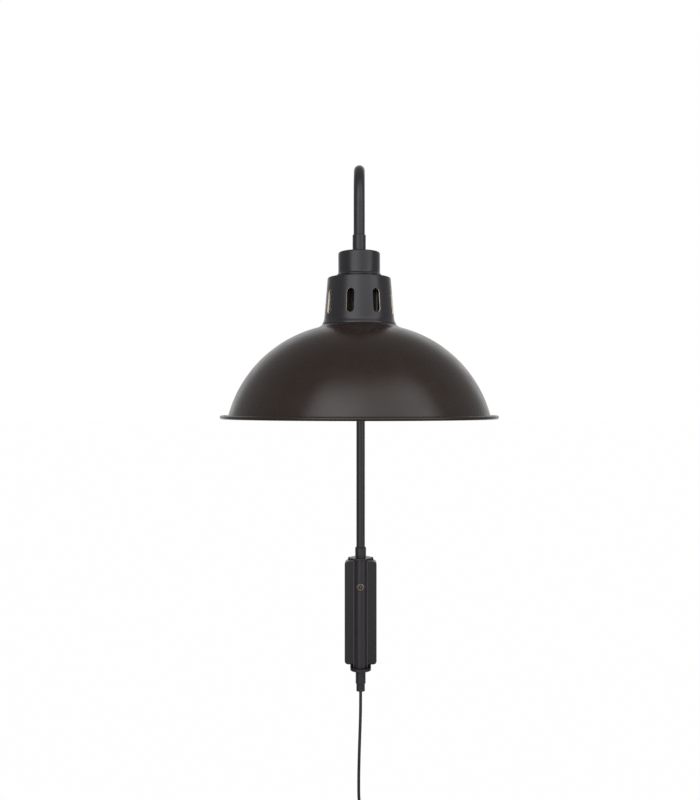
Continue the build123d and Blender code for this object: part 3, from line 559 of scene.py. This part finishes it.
def dome():
    """Spun dome in one sheet, from the crown's hole to a hollow rolled rim."""
    rim_r = (DOME_HIGH.x - DOME_LOW.x) / 2
    crown_z = DOME_HIGH.z
    flange_z = DOME_LOW.z + 2 * BEAD_R
    start = Vector((COVE_R, crown_z - CROWN_RISE))
    end = Vector((rim_r - FLANGE_W, flange_z))
    centre = arc_centre(start, end, DOME_ARC_R)
    bead = (rim_r - BEAD_R, DOME_LOW.z + BEAD_R)
    crown_end = Vector((CROWN_R, crown_z))
    outer = [Vector((CROWN_HOLE_R, crown_z)), crown_end - Vector((CROWN_LEDGE, 0))]
    outer += cove(crown_end, start, (start - centre).normalized(), COVE_POINTS)
    outer += arc(centre, DOME_ARC_R, *bearings(centre, start, end), SIDE_POINTS)[1:]
    outer.append(Vector((bead[0] - ROLL_LEAD, flange_z - FLANGE_FALL)))
    roll = arc(bead, BEAD_R, ROLL_START, ROLL_END, ROLL_POINTS)
    outer += roll
    inner = offset_line(outer[:-len(roll)], -SHEET)
    inner += arc(bead, BEAD_R - ROLL_SHEET, ROLL_START, ROLL_END, ROLL_POINTS)
    section = outer + inner[::-1]
    lacquered = len(outer) + len(roll)
    slots = [0] * lacquered + [1] * (len(section) - lacquered)
    shade = lathe("dome", section, SHADE_Y, [dome_lacquer(), inside_lacquer()], slots, DOME_STEPS)
    crease(shade, 50)
    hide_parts("dome_shade")


# --- vented neck ----------------------------------------------------------------------------------
NECK_HOLE_R = 0.021
NECK_TOP_R = 0.0353
NECK_SHOULDER = 0.0017
NECK_SIDE_R = 0.0391
NECK_FOOT_H = 0.0074
NECK_FOOT_LIFT = 0.0001
SLOT_COUNT = 8
SLOT_FIRST = math.radians(-59.5)
SLOT_L = 0.0264
SLOT_W = 0.0087
SLOT_DROP = 0.0285
SLOT_TOOL_IN, SLOT_TOOL_OUT = 0.028, 0.048
SLOT_END_POINTS = 16
SLOT_EDGE = 0.00025
SHOULDER_POINTS = 6
NECK_STEPS = 192


def neck_side(inset):
    """One side of the neck's sheet, from the hole in its top down to its foot."""
    top_z = NECK_HIGH.z - inset
    corner = Vector((NECK_TOP_R - inset, top_z))
    low = Vector((NECK_SIDE_R - inset, NECK_LOW.z + NECK_FOOT_H))
    foot = Vector(((NECK_HIGH.x - NECK_LOW.x) / 2 - inset, NECK_LOW.z + SHEET + NECK_FOOT_LIFT))
    down = (low - corner).normalized()
    lean = math.atan2(down.x, -down.y)
    radius = NECK_SHOULDER - inset
    reach = radius * math.tan((math.pi / 2 - lean) / 2)
    centre = corner - Vector((reach, radius))
    side = [Vector((NECK_HOLE_R, top_z))]
    side += arc(centre, radius, 90, math.degrees(lean), SHOULDER_POINTS)
    side += reversed(cove(foot, low, Vector((-down.y, down.x)), COVE_POINTS))
    return side


def slot_tool():
    """Upright round-ended bars through the neck's wall, all in one mesh."""
    tool = bmesh.new()
    half_run = SLOT_L / 2 - SLOT_W / 2
    outline = arc((0, half_run), SLOT_W / 2, 0, 180, SLOT_END_POINTS)
    outline += arc((0, -half_run), SLOT_W / 2, 180, 360, SLOT_END_POINTS)
    slot_z = NECK_HIGH.z - SLOT_DROP
    for index in range(SLOT_COUNT):
        angle = SLOT_FIRST + index * 2 * math.pi / SLOT_COUNT
        outward = Vector((math.sin(angle), -math.cos(angle), 0))
        sideways = Vector((math.cos(angle), math.sin(angle), 0))
        rings = []
        for radius in (SLOT_TOOL_IN, SLOT_TOOL_OUT):
            middle = Vector((0, SHADE_Y, slot_z)) + outward * radius
            places = [middle + sideways * p.x + Vector((0, 0, p.y)) for p in outline]
            rings.append([tool.verts.new(place) for place in places])
        tool.faces.new(rings[0])
        tool.faces.new(reversed(rings[1]))
        for place in range(len(outline)):
            after = (place + 1) % len(outline)
            tool.faces.new((rings[0][place], rings[0][after], rings[1][after], rings[1][place]))
    bmesh.ops.recalc_face_normals(tool, faces=tool.faces)
    mesh = bpy.data.meshes.new("slot_tool")
    tool.to_mesh(mesh)
    tool.free()
    made = bpy.data.objects.new("slot_tool", mesh)
    bpy.context.scene.collection.objects.link(made)
    return made


def vented_neck():
    """The neck with smooth round-ended slots cut through its sheet."""
    foot_r = (NECK_HIGH.x - NECK_LOW.x) / 2
    section = neck_side(0) + [
        Vector((foot_r, NECK_LOW.z)), Vector((CROWN_HOLE_R, NECK_LOW.z)),
        Vector((CROWN_HOLE_R, NECK_LOW.z + SHEET)), Vector((foot_r - SHEET, NECK_LOW.z + SHEET)),
    ] + neck_side(SHEET)[::-1]
    look = neck_lacquer()
    neck = lathe("neck", section, SHADE_Y, [look], [0] * len(section), NECK_STEPS)
    tool = slot_tool()
    cut = neck.modifiers.new("slots", "BOOLEAN")
    cut.operation = "DIFFERENCE"
    cut.solver = "EXACT"
    cut.object = tool
    bpy.context.view_layer.update()
    cut_neck = neck.evaluated_get(bpy.context.evaluated_depsgraph_get())
    shaped = bpy.data.meshes.new_from_object(cut_neck)
    neck.modifiers.clear()
    neck.data = shaped
    bpy.data.objects.remove(tool)
    shaped.materials.clear()
    shaped.materials.append(look)
    shaped.polygons.foreach_set("material_index", [0] * len(shaped.polygons))
    crease(neck)
    edge_round(neck, SLOT_EDGE)
    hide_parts("vented_neck")


# --- lampholder -----------------------------------------------------------------------------------
def screw_shell():
    """Rolled brass shell: a helical thread of the lamp's pitch pressed into sheet 0.4 mm thick."""
    low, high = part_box("screw_shell")
    outer_r = (high.x - low.x) / 2
    pitch, depth, sheet = 0.00363, 0.0011, 0.0004
    steps, rows = 96, 8
    turns = (high.z - low.z) / pitch
    vertices, faces = [], []
    count = int(turns * rows)
    for side in (0, 1):
        for row in range(count + 1):
            z = low.z + (high.z - low.z) * row / count
            for step in range(steps):
                angle = 2 * math.pi * step / steps
                phase = 2 * math.pi * (z - low.z) / pitch - angle
                fade = min(1, (z - low.z) / pitch, (high.z - z) / pitch)
                radius = outer_r - side * sheet - depth * fade * (0.5 + 0.5 * math.cos(phase))
                vertices.append((radius * math.cos(angle), SHADE_Y + radius * math.sin(angle), z))
    layer = (count + 1) * steps
    for side in (0, 1):
        for row in range(count):
            for step in range(steps):
                a = side * layer + row * steps + step
                b = side * layer + row * steps + (step + 1) % steps
                faces.append((a, b, b + steps, a + steps))
    for row in (0, count):
        for step in range(steps):
            a = row * steps + step
            b = row * steps + (step + 1) % steps
            faces.append((a, b, b + layer, a + layer))
    shell = new_piece("thread_shell", vertices, faces, [worn_metal("brass", BRASS, 0.28)])
    crease(shell, 60)
    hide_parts("screw_shell")


def knurled_ring():
    """Clamping ring of the lampholder with grip notches round its rim."""
    low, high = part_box("shade_ring")
    outer_r = (high.x - low.x) / 2
    sleeve_low, sleeve_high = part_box("holder_sleeve")
    clearance = 0.00002
    inner_r = (sleeve_high.x - sleeve_low.x) / 2 + clearance
    notches, per_notch, notch = 36, 6, 0.0008
    steps = notches * per_notch
    edge = 0.0006
    heights = [(0.0, edge), (edge, 0.0), (high.z - low.z - edge, 0.0), (high.z - low.z, edge)]
    vertices, faces = [], []
    for step in range(steps):
        angle = 2 * math.pi * step / steps
        dip = notch * (0.5 + 0.5 * math.cos(angle * notches)) ** 2
        across, along = math.cos(angle), math.sin(angle)
        for height, inset in heights:
            radius = outer_r - inset - dip
            vertices.append((radius * across, SHADE_Y + radius * along, low.z + height))
        for height in (high.z, low.z):
            vertices.append((inner_r * across, SHADE_Y + inner_r * along, height))
    around = len(heights) + 2
    for step in range(steps):
        here, there = step * around, (step + 1) % steps * around
        for index in range(around):
            after = (index + 1) % around
            faces.append((here + index, here + after, there + after, there + index))
    ring = new_piece("grip_ring", vertices, faces, [bakelite()])
    crease(ring, 40)
    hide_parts("shade_ring")


# --- cord and coil --------------------------------------------------------------------------------
def coil_point(turn):
    """Control point of the coil, which winds in, then out, a layer nearer the front each time."""
    nearest = round(turn / COIL_SPAN)
    offset = turn - nearest * COIL_SPAN
    steps = abs(offset)
    half_climb = COIL_CLIMB / 2
    if 0 < nearest < COIL_LAYERS and steps < half_climb:
        steps = half_climb / 2 + offset ** 2 / COIL_CLIMB
    inward = steps if nearest % 2 == 0 else COIL_SPAN - steps
    radius = (COIL_R - COIL_PITCH * inward) / math.cos(math.pi / POINTS_PER_TURN)
    climbed = 0.0
    for layer in range(1, COIL_LAYERS):
        share = min(max((turn - layer * COIL_SPAN) / COIL_CLIMB + 0.5, 0.0), 1.0)
        climbed += share * share * (3 - 2 * share)
    angle = COIL_START - 2 * math.pi * turn
    depth = COIL_PITCH * ((COIL_LAYERS - 1) / 2 - climbed)
    return COIL_MIDDLE + Vector((radius * math.cos(angle), depth, radius * math.sin(angle)))


def cord_route():
    """Control points of the whole cord: down from the tube, round the coil and down to the plug."""
    points = [EXIT + Vector(step) for step in CORD_STEPS]
    half_depth = COIL_PITCH * (COIL_LAYERS - 1) / 2
    across, rise = math.cos(COIL_START), math.sin(COIL_START)
    lead_in = Vector((rise, 0, -across))
    first = COIL_MIDDLE + Vector((COIL_R * across, half_depth, COIL_R * rise))
    start = first - lead_in * 2 * CORD_R
    points.append(start - lead_in * COIL_LEAD)
    points.append(start)
    count = round(COIL_TURNS * POINTS_PER_TURN)
    for index in range(count):
        points.append(coil_point(COIL_TURNS * (index + 0.5) / count))
    last = COIL_MIDDLE + Vector((COIL_R, -half_depth, 0))
    points.append(last - Vector((0, 0, 2 * CORD_R)))
    points.append(last - Vector((0, 0, COIL_TAIL)))
    return points


def cord():
    """The hanging cord and its coil: one round sheath along one smooth line."""
    line = bpy.data.curves.new("hanging_cord", "CURVE")
    line.dimensions = "3D"
    line.bevel_depth = CORD_R
    line.bevel_resolution = 6
    line.resolution_u = 8
    line.use_fill_caps = True
    spline = line.splines.new("NURBS")
    points = cord_route()
    spline.points.add(len(points) - 1)
    for place, point in zip(spline.points, points):
        place.co = (*point, 1)
    spline.order_u = 3
    spline.use_endpoint_u = True
    piece = bpy.data.objects.new("hanging_cord", line)
    bpy.context.scene.collection.objects.link(piece)
    line.materials.append(cord_sheath())
    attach(piece, "root")
    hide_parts("cord", "cord_coil")
    return piece


# --- strap and plug -------------------------------------------------------------------------------
def rounded_loop(width, depth, corner, per_corner=6):
    """Points round a rectangle with round corners, in its own plane."""
    points = []
    for index, (sx, sy) in enumerate(((1, 1), (-1, 1), (-1, -1), (1, -1))):
        centre = (sx * (width / 2 - corner), sy * (depth / 2 - corner))
        points += arc(centre, corner, 90 * index, 90 * index + 90, per_corner)
    return points


def tie():
    """Hook-and-loop strap: a band round all the turns of the coil."""
    outward = Vector((math.cos(TIE_ANGLE), 0, math.sin(TIE_ANGLE)))
    around = Vector((math.sin(TIE_ANGLE), 0, -math.cos(TIE_ANGLE)))
    towards_wall = Vector((0, 1, 0))
    middle_r = COIL_R - COIL_PITCH * COIL_SPAN / 2
    corner = CORD_R + TIE_GAP
    wide = COIL_PITCH * COIL_SPAN + 2 * corner
    deep = COIL_PITCH * (COIL_LAYERS - 1) + 2 * corner
    inner = rounded_loop(wide, deep, corner)
    outer = rounded_loop(wide + 2 * TIE_T, deep + 2 * TIE_T, corner + TIE_T)
    count = len(inner)
    vertices, faces = [], []
    for side in (-1, 1):
        for loop in (inner, outer):
            for point in loop:
                place = COIL_MIDDLE + outward * (middle_r + point.x) + towards_wall * point.y
                vertices.append(place + around * side * TIE_HALF_W)
    for index in range(count):
        after = (index + 1) % count
        low_in, low_out, high_in, high_out = 0, count, 2 * count, 3 * count
        faces.append((low_in + index, low_in + after, high_in + after, high_in + index))
        faces.append((low_out + index, low_out + after, high_out + after, high_out + index))
        faces.append((low_in + index, low_in + after, low_out + after, low_out + index))
        faces.append((high_in + index, high_in + after, high_out + after, high_out + index))
    strap = new_piece("strap", vertices, faces, [strap_weave()], body="root")
    crease(strap, 50)
    edge_round(strap, 0.0002)
    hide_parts("coil_tie")
    return strap


def section_ring(half_x, half_y, corner, z, centre, per_corner=8):
    """Ring of points round an upright body's section."""
    loop = rounded_loop(2 * half_x, 2 * half_y, corner, per_corner)
    return [Vector((centre.x + p.x, centre.y + p.y, z)) for p in loop]


def round_ring(centre, radius, z, count=32):
    """Ring of points round an upright line."""
    ring = []
    for index in range(count):
        angle = 2 * math.pi * index / count
        reach, side = radius * math.cos(angle), radius * math.sin(angle)
        ring.append(Vector((centre.x + reach, centre.y + side, z)))
    return ring


def wave(share):
    """0 at whole shares and 1 halfway between them, in a smooth wave."""
    return 0.5 - 0.5 * math.cos(2 * math.pi * share)


def skin(name, rings, materials, body):
    """Closed skin over rings of equal length, with flat ends."""
    count = len(rings[0])
    vertices = [point for ring in rings for point in ring]
    faces = []
    for row in range(len(rings) - 1):
        for index in range(count):
            after = (index + 1) % count
            here, above = row * count, (row + 1) * count
            faces.append((here + index, here + after, above + after, above + index))
    faces.append(tuple(range(count)))
    faces.append(tuple(range(len(vertices) - count, len(vertices))))
    return new_piece(name, vertices, faces, materials, body=body)


# The plug's heights as shares of its grip or relief, counted upwards.
GRIP_H = 0.035
GRIP_CORNER = 0.0042
GRIP_ROWS = 36
WAIST_DEPTH = 0.0016
WAIST_FROM, WAIST_SPAN = 0.25, 0.7
RIDGE_DEPTH = 0.00035
RIDGES_FROM, RIDGES_TO, RIDGES_PER_GRIP = 0.3, 0.8, 14
LOW_EDGE, LOW_EDGE_SPAN = 0.0012, 0.03
TOP_EDGE, TOP_EDGE_SPAN = 0.0045, 0.14
SIDE_SHARE, FACE_SHARE = 0.8, 2.2  # how far a narrowing goes in on the sides and on the faces
RELIEF_L = 0.022
RELIEF_LAP = 0.0015
RELIEF_LOW_R, RELIEF_TOP_R = 0.0046, 0.0027
RELIEF_ROWS = 44
GROOVE_DEPTH = 0.0006
GROOVES_FROM, GROOVES_TO, GROOVES = 0.08, 0.92, 6
PIN_RADIUS = 0.002
SLEEVE_L = 0.010
SLEEVE_T = 0.0001
SLEEVE_TIP_T = 0.00002
SLEEVE_SHORT = 0.00001  # the sleeve stops this far below the plug


def plug():
    """Moulded two-pin plug: waisted grip with ridges, and a ribbed strain relief."""
    centre = (PLUG_LOW + PLUG_HIGH) / 2
    half_x, half_y = (PLUG_HIGH.x - PLUG_LOW.x) / 2, (PLUG_HIGH.y - PLUG_LOW.y) / 2
    rings = []
    for row in range(GRIP_ROWS + 1):
        share = row / GRIP_ROWS
        waist_share = min(max((share - WAIST_FROM) / WAIST_SPAN, 0), 1)
        shrink = WAIST_DEPTH * math.sin(math.pi * waist_share) ** 2
        if RIDGES_FROM < share < RIDGES_TO:
            shrink += RIDGE_DEPTH * wave((share - RIDGES_FROM) * RIDGES_PER_GRIP)
        edge = LOW_EDGE * max(0, 1 - share / LOW_EDGE_SPAN)
        edge += TOP_EDGE * max(0, (share - 1 + TOP_EDGE_SPAN) / TOP_EDGE_SPAN) ** 2
        shrink += edge
        rings.append(section_ring(
            half_x - shrink * SIDE_SHARE, half_y - shrink * FACE_SHARE, GRIP_CORNER - edge / 2,
            PLUG_LOW.z + share * GRIP_H, centre,
        ))
    shell = skin("plug_shell", rings, [cord_sheath()], "root")
    crease(shell, 50)
    rings = []
    for row in range(RELIEF_ROWS + 1):
        share = row / RELIEF_ROWS
        radius = RELIEF_LOW_R + (RELIEF_TOP_R - RELIEF_LOW_R) * share
        if GROOVES_FROM < share < GROOVES_TO:
            radius -= GROOVE_DEPTH * wave(share * GROOVES)
        z = PLUG_LOW.z + GRIP_H - RELIEF_LAP + share * (RELIEF_L + RELIEF_LAP)
        rings.append(round_ring(centre, radius, z))
    relief = skin("plug_relief", rings, [cord_sheath()], "root")
    crease(relief, 60)
    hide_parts("plug_body")
    return shell, relief


def pin_sleeves():
    """Insulating sleeves on the roots of the plug's two pins."""
    low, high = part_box("plug_pins")
    sleeves = []
    for name, y in (("sleeve_front", low.y + PIN_RADIUS), ("sleeve_rear", high.y - PIN_RADIUS)):
        centre = Vector(((low.x + high.x) / 2, y, 0))
        rings = []
        for share, thick in ((0, SLEEVE_TIP_T), (0.02, SLEEVE_T), (1, SLEEVE_T)):
            z = PLUG_LOW.z - SLEEVE_L * (1 - share) - SLEEVE_SHORT
            rings.append(round_ring(centre, PIN_RADIUS + thick, z))
        sleeve = skin(name, rings, [nylon()], "root")
        crease(sleeve, 40)
        sleeves.append(sleeve)
    return sleeves


# --- CAD nodes that stay, with their finishes -----------------------------------------------------
def dress():
    """Finish of each CAD node, and the width of the small round on its edges."""
    coat, shade, black, sheath = powder_coat(), shade_lacquer(), nylon(), cord_sheath()
    moulded, brass = bakelite(), bpy.data.materials["brass"]
    dark_steel = worn_metal("dark_steel", DARK_STEEL, 0.4)
    finishes = {
        "housing": (housing_coat(), 0.0002),
        "wall_plate": (coat, 0.0002),
        "top_disc": (coat, 0.0003),
        "bottom_cup": (coat, 0.0002),
        "arm_tube": (coat, 0),
        "upper_collar": (coat, 0.0002),
        "lower_collar": (coat, 0.0002),
        "front_collar": (coat, 0.0002),
        "shade_cap": (shade, 0.00015),
        "upper_bush": (black, 0.0001),
        "lower_bush": (black, 0.0001),
        "thrust_washer": (black, 0.0001),
        "friction_pad": (black, 0),
        "cord_bush": (black, 0),
        "clamp_screw": (bronze_screw(), 0),
        "housing_screws": (dark_steel, 0.0001),
        "collar_grub_screws": (dark_steel, 0.0001),
        "nipple": (brass, 0),
        "cap_nut": (brass, 0.0002),
        "neck_rivets": (worn_metal("rivet", ALUMINIUM, 0.35), 0.0004),
        "holder_cap": (moulded, 0.0003),
        "holder_sleeve": (moulded, 0.0003),
        "holder_insert": (ceramic(), 0.0003),
        "centre_contact": (brass, 0.0001),
        "terminal_screws": (brass, 0.0001),
        "inner_cable": (sheath, 0),
        "lead_wires": (worn_metal("copper", COPPER, 0.3), 0),
        "plug_pins": (worn_metal("nickel", NICKEL, 0.25), 0.0002),
    }
    for name, (look, edge) in finishes.items():
        node = NODES[name]
        node.data.materials.clear()
        node.data.materials.append(look)
        node.data.polygons.foreach_set("material_index", [0] * len(node.data.polygons))
        if edge:
            edge_round(node, edge)


# --- studio ---------------------------------------------------------------------------------------
def camera():
    """The photograph's camera: level, and shifted to where the photograph has its horizon."""
    data = bpy.data.cameras.new("camera")
    data.sensor_width = SENSOR
    data.lens = SENSOR * FOCAL_PX / PHOTO_H
    data.shift_y = (HORIZON_PX - PHOTO_H / 2) / PHOTO_H
    eye = bpy.data.objects.new("camera", data)
    eye.location = CAMERA_PLACE
    eye.rotation_euler = (math.radians(90), 0, CAMERA_YAW)
    bpy.context.scene.collection.objects.link(eye)
    bpy.context.scene.camera = eye


def directions(nodes, links, axes):
    """Azimuth, from the front to the right, and elevation of a direction, both in radians."""
    front = nodes.new("ShaderNodeMath")
    front.operation = "MULTIPLY"
    front.inputs[1].default_value = -1
    links.new(axes.outputs["Y"], front.inputs[0])
    azimuth = combine(nodes, links, "ARCTAN2", axes.outputs["X"], front.outputs["Value"])
    elevation = nodes.new("ShaderNodeMath")
    elevation.operation = "ARCSINE"
    links.new(axes.outputs["Z"], elevation.inputs[0])
    return azimuth, elevation.outputs["Value"]


def world():
    """White studio: bright behind, dim in front and overhead, with soft lights in front."""
    made = bpy.data.worlds.new("studio")
    bpy.context.scene.world = made
    made.use_nodes = True
    nodes, links = made.node_tree.nodes, made.node_tree.links
    nodes.clear()
    out = nodes.new("ShaderNodeOutputWorld")
    path = nodes.new("ShaderNodeLightPath")
    place = nodes.new("ShaderNodeTexCoord")
    axes = nodes.new("ShaderNodeSeparateXYZ")
    links.new(place.outputs["Generated"], axes.inputs["Vector"])
    behind = ramp(nodes, links, axes.outputs["Y"], BEHIND_FROM, BEHIND_TO, 0.0, 1.0)
    front = ramp(nodes, links, axes.outputs["Z"], LOW_FROM, LOW_TO, LOW_GLOW, FRONT_GLOW)
    overhead = ramp(nodes, links, axes.outputs["Z"], ZENITH_FROM, ZENITH_TO, 1.0, ZENITH_GLOW)
    level = combine(nodes, links, "MAXIMUM", behind, front)
    level = combine(nodes, links, "MULTIPLY", level, overhead)
    azimuth, elevation = directions(nodes, links, axes)
    for glow, around, up in SOFT_LIGHTS:
        light = window(nodes, links, azimuth, [math.radians(edge) for edge in around], glow)
        height = window(nodes, links, elevation, [math.radians(edge) for edge in up])
        light = combine(nodes, links, "MULTIPLY", light, height)
        level = combine(nodes, links, "ADD", level, light)
    room = nodes.new("ShaderNodeBackground")
    links.new(level, room.inputs["Strength"])
    shown = nodes.new("ShaderNodeBackground")
    for background in (room, shown):
        background.inputs["Color"].default_value = (1, 1, 1, 1)
    mix = nodes.new("ShaderNodeMixShader")
    rays = (path.outputs["Is Camera Ray"], path.outputs["Is Transmission Ray"])
    seen = combine(nodes, links, "MAXIMUM", *rays)
    links.new(seen, mix.inputs["Fac"])
    links.new(room.outputs["Background"], mix.inputs[1])
    links.new(shown.outputs["Background"], mix.inputs[2])
    links.new(mix.outputs["Shader"], out.inputs["Surface"])


def floor():
    """Pale floor below the plug: nearly white to the camera, with a trace of the lamp's shadow."""
    mesh = bpy.data.meshes.new("floor")
    z = cad_box[0].z - FLOOR_DROP
    size = FLOOR_SIZE
    corners = [(-size, -size, z), (size, -size, z), (size, size, z), (-size, size, z)]
    mesh.from_pydata(corners, [], [(0, 1, 2, 3)])
    ground = bpy.data.objects.new("floor", mesh)
    bpy.context.scene.collection.objects.link(ground)
    made = bpy.data.materials.new("pale_floor")
    made.use_nodes = True
    nodes, links = made.node_tree.nodes, made.node_tree.links
    nodes.clear()
    out = nodes.new("ShaderNodeOutputMaterial")
    path = nodes.new("ShaderNodeLightPath")
    matt = nodes.new("ShaderNodeBsdfDiffuse")
    matt.inputs["Color"].default_value = (FLOOR_GREY, FLOOR_GREY, FLOOR_GREY, 1)
    glow = nodes.new("ShaderNodeEmission")
    glow.inputs["Strength"].default_value = 1.0
    share = nodes.new("ShaderNodeMath")
    share.operation = "MULTIPLY"
    share.inputs[1].default_value = FLOOR_GLOW
    links.new(path.outputs["Is Camera Ray"], share.inputs[0])
    mix = nodes.new("ShaderNodeMixShader")
    links.new(share.outputs["Value"], mix.inputs["Fac"])
    links.new(matt.outputs["BSDF"], mix.inputs[1])
    links.new(glow.outputs["Emission"], mix.inputs[2])
    links.new(mix.outputs["Shader"], out.inputs["Surface"])
    mesh.materials.append(made)
    ground.visible_glossy = False


def main():
    view = bpy.context.scene.view_settings
    view.view_transform = "Standard"
    camera()
    hanging = cord()
    screw_shell()
    dome()
    vented_neck()
    knurled_ring()
    strap = tie()
    shell, relief = plug()
    sleeves = pin_sleeves()
    dress()
    world()
    floor()


main()
